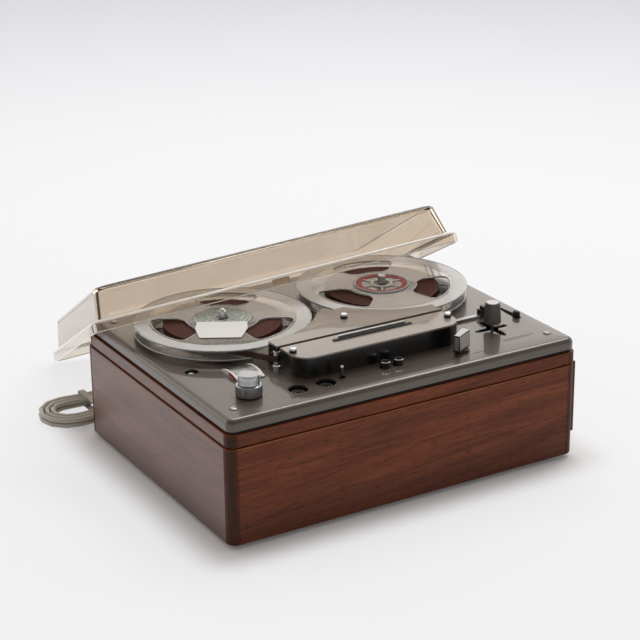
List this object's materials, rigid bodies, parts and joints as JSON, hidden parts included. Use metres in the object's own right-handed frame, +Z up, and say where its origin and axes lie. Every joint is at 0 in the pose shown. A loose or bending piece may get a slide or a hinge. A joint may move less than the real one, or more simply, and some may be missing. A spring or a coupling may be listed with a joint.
{
  "type": "reel-to-reel tape recorder",
  "caption": "Portable reel-to-reel tape recorder with a veneered cabinet, sloping-edged metal deck, clear reels, head cover, knobs and joystick, and its smoked lid leaning behind.",
  "frame": {"origin": "middle of the bounding box of the recorder with its lid, without the mains lead, at table height", "axes": "+X to the right of someone facing the controls, +Y to the back, +Z up"},
  "size_m": [0.4662, 0.5171, 0.2165],
  "materials": {
    "teak": "satin oiled veneer, grain along each side",
    "hardboard": "matt pressed board",
    "rubber": "matt",
    "black_rubber": "matt",
    "taupe_paint": "semi-gloss metallic taupe enamel",
    "zinc_steel": "zinc plated",
    "bright_steel": "turned and polished",
    "chrome": "bright plated",
    "black_plastic": "moulded, low sheen",
    "white_plastic": "moulded",
    "clear_plastic": "clear polystyrene",
    "smoked_acrylic": "pale smoke tint, polished",
    "oxide_tape": "brown oxide, soft sheen",
    "iron_core": "varnished laminations",
    "board_green": "lacquered board",
    "brass": "turned",
    "grey_vinyl": "soft grey vinyl",
    "spun_aluminium": "spun and lacquered",
    "red_paint": "matt"
  },
  "bodies": {
    "recorder": {"cabinet_shell": "teak", "bottom_cover": "hardboard", "rubber_feet": "rubber", "speaker_grille": "teak", "loudspeaker": "zinc_steel", "deck_seal": "black_rubber", "deck_plate": "taupe_paint", "chassis_plate": "zinc_steel", "deck_screws": "chrome", "rear_head_cover": "black_plastic", "rear_cover_plate": "taupe_paint", "front_head_cover": "black_plastic", "front_cover_plate": "taupe_paint", "thumb_screws": "chrome", "head_mount": "zinc_steel", "tape_heads": "bright_steel", "tape_guides": "chrome", "tape_run": "oxide_tape", "meter_case": "white_plastic", "meter_lens": "clear_plastic", "trim_screw": "chrome", "mic_sockets": "black_plastic", "joystick_bracket": "zinc_steel", "level_pot": "zinc_steel", "selector_switch": "zinc_steel", "slide_pot": "zinc_steel", "button_switches": "black_plastic", "motor": "zinc_steel", "power_transformer": "iron_core", "amplifier_board": "board_green", "drive_belt": "black_rubber", "spindle_bushes": "brass", "cord_gland": "black_rubber", "mains_cord": "grey_vinyl", "cord_hank": "grey_vinyl", "cord_tie": "grey_vinyl", "mains_plug": "grey_vinyl"},
    "supply": {"supply_turntable": "bright_steel", "supply_reel": "clear_plastic", "supply_tape": "oxide_tape"},
    "takeup": {"takeup_turntable": "bright_steel", "takeup_reel": "clear_plastic", "takeup_tape": "oxide_tape"},
    "capstan": {"capstan_flywheel": "bright_steel"},
    "pulley": {"motor_pulley": "brass"},
    "arm": {"pinch_arm": "zinc_steel"},
    "roller": {"pinch_roller": "black_rubber"},
    "upper_knob": {"level_knob": "spun_aluminium"},
    "lower_ring": {"level_ring": "spun_aluminium"},
    "gimbal": {"joystick_gimbal": "zinc_steel"},
    "joystick": {"joystick_lever": "black_plastic"},
    "selector": {"selector_knob": "spun_aluminium"},
    "slider": {"tone_slider": "black_plastic"},
    "toggle": {"toggle_lever": "black_plastic"},
    "button_left": {"record_button_left": "chrome"},
    "button_right": {"record_button_right": "chrome"},
    "needle": {"meter_needle": "red_paint"},
    "pause": {"pause_lever": "chrome"},
    "lid": {"lid_cover": "smoked_acrylic"}
  },
  "joints": [
    {"name": "supply_spin", "type": "hinge", "parent": "recorder", "child": "supply", "pos_m": [-0.1026, -0.05412, 0.13], "axis": [0, 0, 1], "continuous": true},
    {"name": "takeup_spin", "type": "hinge", "parent": "recorder", "child": "takeup", "pos_m": [0.0854, -0.05412, 0.13], "axis": [0, 0, 1], "continuous": true},
    {"name": "capstan_spin", "type": "hinge", "parent": "recorder", "child": "capstan", "pos_m": [0.0554, -0.16382, 0.1], "axis": [0, 0, 1], "continuous": true},
    {"name": "pulley_spin", "type": "hinge", "parent": "recorder", "child": "pulley", "pos_m": [0.0554, -0.07282, 0.066], "axis": [0, 0, 1], "continuous": true},
    {"name": "pinch_swing", "type": "hinge", "parent": "recorder", "child": "arm", "pos_m": [0.0754, -0.19512, 0.133], "axis": [0, 0, 1], "range_deg": [-12, 0]},
    {"name": "roller_spin", "type": "hinge", "parent": "arm", "child": "roller", "pos_m": [0.0554, -0.18142, 0.137], "axis": [0, 0, 1], "continuous": true},
    {"name": "upper_level_turn", "type": "hinge", "parent": "recorder", "child": "upper_knob", "pos_m": [-0.158, -0.21112, 0.14], "axis": [0, 0, 1], "range_deg": [-150, 150]},
    {"name": "lower_level_turn", "type": "hinge", "parent": "recorder", "child": "lower_ring", "pos_m": [-0.158, -0.21112, 0.135], "axis": [0, 0, 1], "range_deg": [-150, 150]},
    {"name": "joystick_front_back", "type": "hinge", "parent": "recorder", "child": "gimbal", "pos_m": [0.1296, -0.19212, 0.118], "axis": [1, 0, 0], "range_deg": [-16, 16]},
    {"name": "joystick_side", "type": "hinge", "parent": "gimbal", "child": "joystick", "pos_m": [0.1296, -0.19212, 0.118], "axis": [0, 1, 0], "range_deg": [-16, 16]},
    {"name": "selector_turn", "type": "hinge", "parent": "recorder", "child": "selector", "pos_m": [0.0694, -0.22512, 0.14], "axis": [0, 0, 1], "range_deg": [-45, 45]},
    {"name": "tone_slide", "type": "slide", "parent": "recorder", "child": "slider", "axis": [0, 1, 0], "range_m": [0, 0.022]},
    {"name": "toggle_tilt", "type": "hinge", "parent": "recorder", "child": "toggle", "pos_m": [-0.063, -0.22012, 0.124], "axis": [1, 0, 0], "range_deg": [-12, 12]},
    {"name": "left_button_press", "type": "slide", "parent": "recorder", "child": "button_left", "axis": [0, 0, -1], "range_m": [0, 0.003], "stiffness_N_per_m": 300, "springref_m": -0.001},
    {"name": "right_button_press", "type": "slide", "parent": "recorder", "child": "button_right", "axis": [0, 0, -1], "range_m": [0, 0.003], "stiffness_N_per_m": 300, "springref_m": -0.001},
    {"name": "needle_swing", "type": "hinge", "parent": "recorder", "child": "needle", "pos_m": [-0.1386, -0.17582, 0.127], "axis": [0, 0, 1], "range_deg": [-52, 0], "stiffness_Nm_per_rad": 0.00002, "springref_deg": 5.73},
    {"name": "pause_turn", "type": "hinge", "parent": "recorder", "child": "pause", "pos_m": [0.1024, -0.15912, 0.1305], "axis": [0, 0, 1], "range_deg": [0, 14]},
    {"name": "lid_lift", "type": "slide", "parent": "recorder", "child": "lid", "axis": [-0.023, 0.4605, 0.8874], "range_m": [0, 0.12]}
  ],
  "couplings": [
    {"joint": "takeup_spin", "follows": "supply_spin", "ratio": 1},
    {"joint": "pulley_spin", "follows": "capstan_spin", "ratio": 4.2222}
  ]
}
